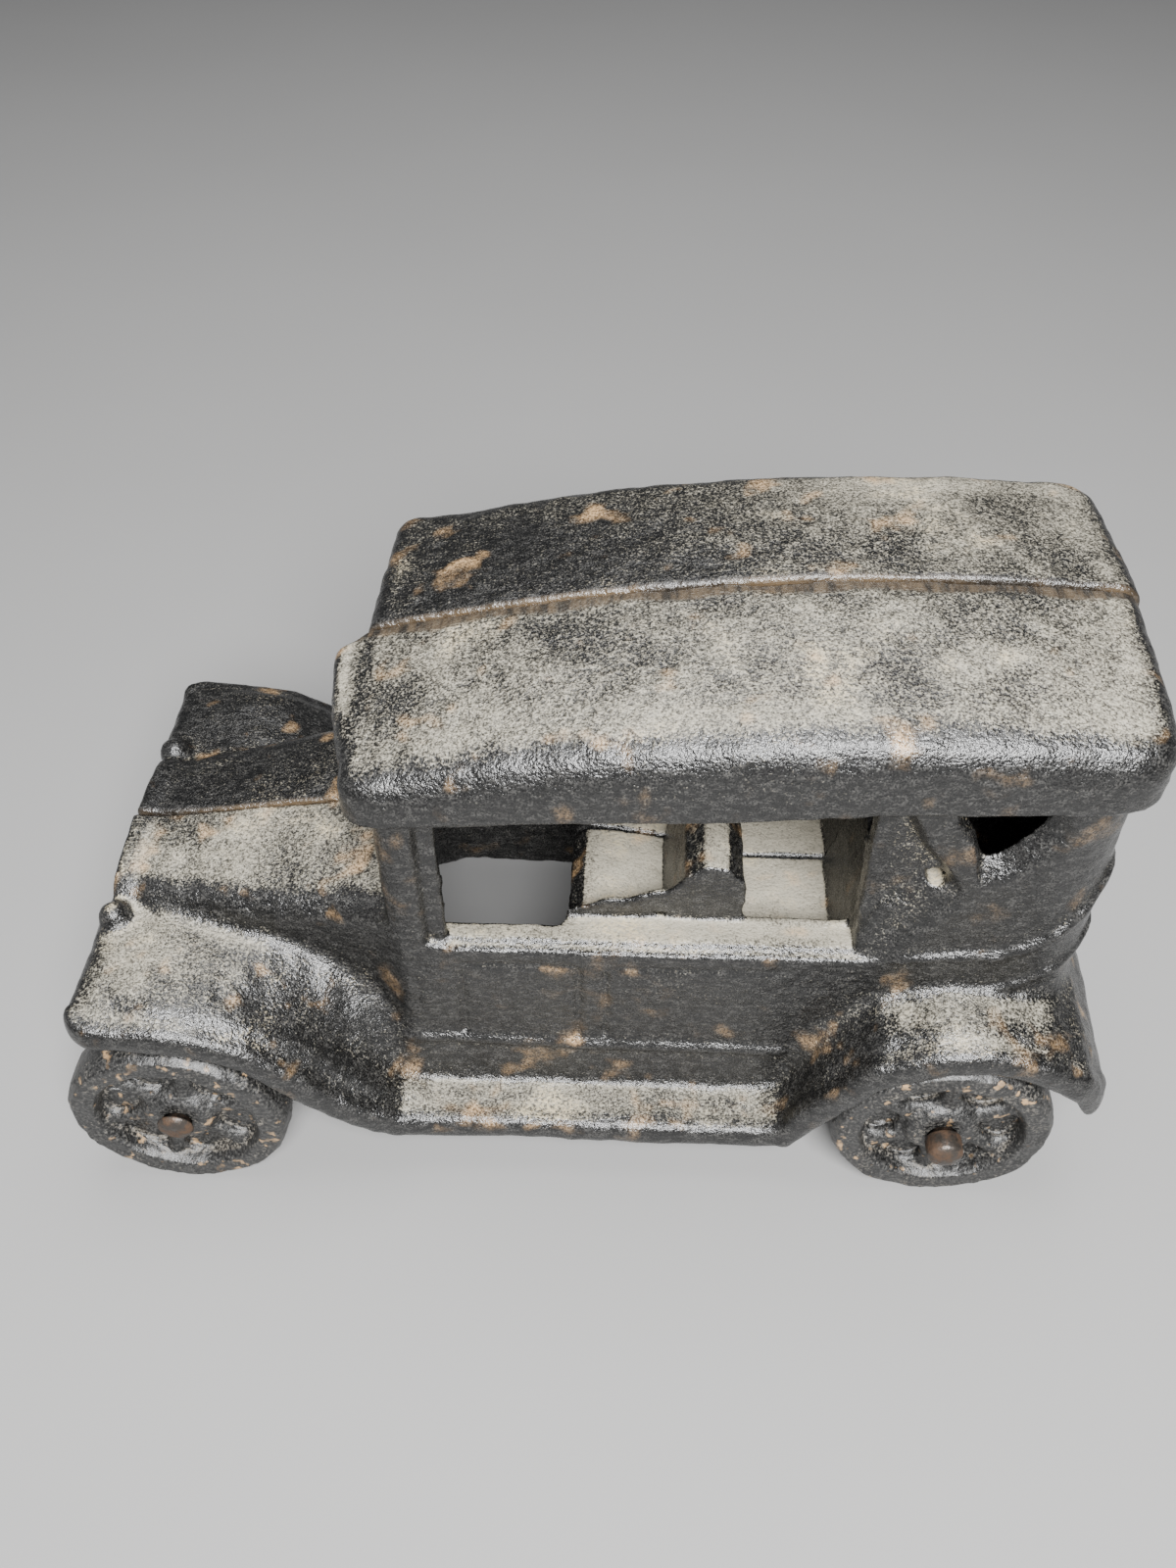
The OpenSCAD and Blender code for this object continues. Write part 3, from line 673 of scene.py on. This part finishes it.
def shell_material():
    n = Nodes("cast_iron_black_paint")
    grain = n.noise(3300, 2, 0.6)
    pebble = n.noise(1700, 2, 0.5, (1, 2, 3))
    blotch = n.noise(62, 4, 0.6, (0.3, 0.1, 0.7))
    cloud = n.noise(19, 2, 0.5, (0.9, 0.4, 0.2))
    freckle = n.noise(125, 2, 0.6, (0.5, 0.6, 0.1))
    streak = n.noise(800, 3, 0.7, (0.2, 0.3, 0.8), (0.6, 1, 1.3))
    up, edge, ground, seam, thick = (n.mark(k) for k in ("up", "edge", "ground", "seam", "thick"))

    # Dust lies on what faces up and in the corners, and the grain breaks it into a film and specks
    lying = n.ramp(up, 0.8, 1.0, 0.0, 0.5)
    corner = n.ramp(edge, -0.03, -0.25, 0.0, 0.25)
    # thick is dust where it lies thick, and painted shade where it is below zero on the far half's hood and
    # roof front
    kept = n.math("MULTIPLY", n.math("MULTIPLY", thick, 0.75), n.ramp(up, 0.55, 0.98, 0.1, 1.0))
    patch = n.math("MULTIPLY", n.math("SUBTRACT", blotch, 0.5), 1.1)
    wide = n.math("MULTIPLY", n.math("SUBTRACT", cloud, 0.5), 0.5)
    drift = n.math("MULTIPLY", n.math("ADD", patch, wide), n.ramp(up, -0.2, 0.5, 0.25, 1.0))
    amount = n.math("ADD", n.math("ADD", lying, corner), n.math("ADD", kept, drift))
    amount = n.math("SUBTRACT", amount, n.ramp(edge, 0.05, 0.2, 0.0, 0.3))
    both = n.math("ADD", n.math("MULTIPLY", grain, 0.6), n.math("MULTIPLY", pebble, 0.4))
    speck = n.ramp(n.math("ADD", both, n.math("MULTIPLY", amount, 0.24)), 0.57, 0.84)
    film = n.ramp(n.math("ADD", amount, n.math("MULTIPLY", both, 0.7)), 0.7, 1.7, 0.0, 0.42)
    dust = n.math("ADD", film, n.math("MULTIPLY", n.math("SUBTRACT", 1.0, film), speck))

    worn = n.math("MULTIPLY", n.ramp(grain, 0.4, 0.62), n.ramp(streak, 0.4, 0.66, 0.1, 1.0))
    base = n.mix(worn, BLACK, WORN)
    colour = n.mix(dust, base, DUST)
    pale = n.math("MULTIPLY", n.ramp(blotch, 0.55, 0.72), n.ramp(pebble, 0.4, 0.6, 0.1, 0.8))
    colour = n.mix(n.math("MULTIPLY", pale, dust), colour, PALE)
    spots = n.math("MULTIPLY", n.ramp(freckle, 0.58, 0.8), n.ramp(up, -0.1, 0.6, 0.15, 0.9))
    spots = n.math("MULTIPLY", spots, n.ramp(both, 0.4, 0.58, 0.2, 1.0))
    colour = n.mix(spots, colour, RUST)
    strip = n.noise(300, 3, 0.6, (0, 0, 0), (2.4, 0.4, 1))
    colour = n.mix(n.math("MULTIPLY", ground, 0.9), colour, n.mix(n.ramp(strip, 0.35, 0.65), SOIL, EARTH))
    colour = n.mix(n.math("MULTIPLY", seam, n.ramp(blotch, 0.4, 0.6, 0.1, 0.75)), colour, SEAM_RUST)
    n.link(colour, n.bsdf.inputs["Base Color"])
    n.link(n.math("ADD", n.ramp(grain, 0.3, 0.7, 0.22, 0.36), n.math("MULTIPLY", dust, 0.14)),
           n.bsdf.inputs["Roughness"])
    n.bsdf.inputs["Specular IOR Level"].default_value = 0.55
    relief = n.math("ADD", n.math("MULTIPLY", grain, 0.35), n.math("MULTIPLY", pebble, 0.6))
    n.bump(n.math("ADD", relief, n.math("MULTIPLY", streak, 0.45)), 0.6, 0.0005)
    return n.mat


def wheel_material():
    n = Nodes("cast_iron_wheel")
    grain = n.noise(2000, 3, 0.6, (0.2, 0, 0))
    blotch = n.noise(190, 4, 0.6, (0.1, 0.9, 0.3))
    freckle = n.noise(420, 2, 0.5, (0.7, 0.2, 0.4))
    edge, hollow = n.mark("edge"), n.mark("hollow")
    base = n.mix(n.ramp(grain, 0.4, 0.7), BLACK, WORN)
    # Dust in the corners and in patches, less in the pockets
    lying = n.math("ADD", n.math("MULTIPLY", hollow, -0.12), n.math("SUBTRACT", blotch, 0.52))
    lying = n.math("ADD", lying, n.ramp(edge, 0.0, -0.2, 0.0, 0.3))
    broken = n.math("MULTIPLY", n.math("SUBTRACT", grain, 0.5), 1.4)
    dust = n.ramp(n.math("ADD", lying, broken), 0.08, 0.6, 0.0, 0.75)
    colour = n.mix(dust, base, WHEEL_DUST)
    spots = n.math("MULTIPLY", n.ramp(freckle, 0.63, 0.7), n.ramp(blotch, 0.4, 0.62, 0.1, 0.8))
    colour = n.mix(spots, colour, RUST)
    n.link(colour, n.bsdf.inputs["Base Color"])
    n.link(n.math("ADD", n.ramp(grain, 0.3, 0.7, 0.36, 0.52), n.math("MULTIPLY", dust, 0.28)),
           n.bsdf.inputs["Roughness"])
    n.bsdf.inputs["Specular IOR Level"].default_value = 0.6
    n.bump(n.math("ADD", grain, n.math("MULTIPLY", blotch, 0.5)), 0.7, 0.00025)
    return n.mat


def steel_material(name):
    n = Nodes(name)
    grain = n.noise(1200, 3, 0.6)
    blotch = n.noise(420, 3, 0.6, (0.4, 0.1, 0.3))
    colour = n.mix(n.ramp(blotch, 0.4, 0.62), STEEL, STAIN)
    colour = n.mix(n.ramp(grain, 0.5, 0.75, 0.0, 0.7), colour, PITTED)
    n.link(colour, n.bsdf.inputs["Base Color"])
    n.bsdf.inputs["Metallic"].default_value = 0.6
    n.link(n.ramp(blotch, 0.35, 0.65, 0.34, 0.7), n.bsdf.inputs["Roughness"])
    n.bump(grain, 0.7, 0.0002)
    return n.mat


# ------------------------------------------------------------------ build
shell_paint = shell_material()
field = shell_half()
for side, name, node, seed in ((1, "cast_body_left", "body_left", 11),
                               (-1, "cast_body_right", "body_right", 23)):
    shell = cast_shell(name, field, side, seed, shell_paint)
    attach(shell, "body")
    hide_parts(node)

wheel_paint = wheel_material()
# Seed, turn and pocket depth, then each gap in the casting flash:
# angle, radius, half length, half width, lean
for name, seed, spin, floor, slots in (
        ("front_wheel_left", 31, 0.25, 3.2, [(27, 10.8, 0.9, 0.5, 8), (180, 9.4, 0.3, 0.75, 0),
                                             (-27, 9.3, 2.0, 0.4, -28), (-92, 6.9, 2.6, 0.35, 8)]),
        ("rear_wheel_left", 37, 0.05, 3.9, [(-12, 9.4, 1.2, 0.6, 0), (170, 8.6, 1.9, 0.55, 152),
                                            (-95, 6.6, 1.4, 0.4, 0)]),
        ("front_wheel_right", 41, 0.6, 3.5, [(60, 10.2, 1.1, 0.6, 20), (200, 9.0, 1.0, 0.5, 70),
                                             (-50, 9.8, 1.5, 0.45, 40)]),
        ("rear_wheel_right", 43, 0.9, 3.7, [(15, 9.8, 0.8, 0.7, 80), (140, 9.6, 1.6, 0.45, 30),
                                            (-80, 8.8, 1.0, 0.6, 0)])):
    cast_wheel(name, seed, spin, floor, slots, wheel_paint)

axle_steel = steel_material("axle_steel_rusted")
for node, head_y, seed in (("front_axle", 42.0, 5), ("rear_axle", 39.4, 7)):
    line = [(0, 43.3), (1.2, 43.38), (2.0, 43.25), (2.65, 42.95), (3.02, 42.55), (3.12, 42.3),
            (3.1, head_y + 0.25), (2.9, head_y + 0.02), (AXLE_R, head_y), (AXLE_R, 32), (AXLE_R, 20),
            (AXLE_R, 8), (AXLE_R, 1)]
    peened_pin("steel_" + node, node, node, head_y, line, seed, axle_steel)
rivet_steel = steel_material("rivet_steel_rusted")
rivet_line = [(0, 23.6), (1.0, 23.55), (1.8, 23.3), (2.5, 22.8), (2.75, 22.3), (RIVET_R, 22.2),
              (RIVET_R, 12), (RIVET_R, 1)]
peened_pin("steel_front_rivet", "front_rivet", "body", 22.2, rivet_line, 9, rivet_steel)


# ------------------------------------------------------------------ stage
def plain_floor():
    me = bpy.data.meshes.new("floor")
    s = 4.0
    me.from_pydata([(-s, -s, 0), (s, -s, 0), (s, s, 0), (-s, s, 0)], [], [(0, 1, 2, 3)])
    n = Nodes("floor_pale")
    n.link(n.mix(n.noise(9, 3), FLOOR_LOW, FLOOR_HIGH), n.bsdf.inputs["Base Color"])
    n.bsdf.inputs["Roughness"].default_value = 0.75
    me.materials.append(n.mat)
    ob = bpy.data.objects.new("floor", me)
    bpy.context.scene.collection.objects.link(ob)


def soft_light(name, place, aim, size, power):
    data = bpy.data.lights.new(name, "AREA")
    data.shape = "DISK"
    data.size = size
    data.energy = power
    ob = bpy.data.objects.new(name, data)
    bpy.context.scene.collection.objects.link(ob)
    ob.location = place
    ob.rotation_mode = "QUATERNION"
    ob.rotation_quaternion = (Vector(aim) - Vector(place)).to_track_quat("-Z", "Y")


def photo_camera():
    """Hand-held view from above the car's left side."""
    yaw, pitch, roll = (math.radians(v) for v in (2.2, 45.8, 0.1))
    ahead = Vector((math.sin(yaw) * math.cos(pitch), -math.cos(yaw) * math.cos(pitch), -math.sin(pitch)))
    right = ahead.cross(Vector((0, 0, 1))).normalized()
    above = right.cross(ahead)
    r2 = math.cos(roll) * right + math.sin(roll) * above
    u2 = math.cos(roll) * above - math.sin(roll) * right
    data = bpy.data.cameras.new("camera")
    data.lens = 31.5
    data.sensor_width = 36
    data.clip_start = 0.01
    ob = bpy.data.objects.new("camera", data)
    bpy.context.scene.collection.objects.link(ob)
    m = Matrix((r2, u2, -ahead)).transposed().to_4x4()
    m.translation = Vector((-0.0056, 0.1585, 0.2231))
    ob.matrix_world = m
    bpy.context.scene.camera = ob


plain_floor()
photo_camera()
soft_light("key", (-0.08, 0.42, 0.50), (0, 0, 0.05), 0.3, 20.0)
soft_light("top", (0.0, -0.1, 0.75), (0, 0, 0.04), 0.55, 6.0)
soft_light("side", (0.7, 0.1, 0.4), (0, 0, 0.05), 0.5, 1.0)
world = bpy.data.worlds.new("studio")
world.use_nodes = True
world.node_tree.nodes["Background"].inputs["Color"].default_value = (0.9, 0.93, 1.0, 1)
world.node_tree.nodes["Background"].inputs["Strength"].default_value = 0.12
bpy.context.scene.world = world
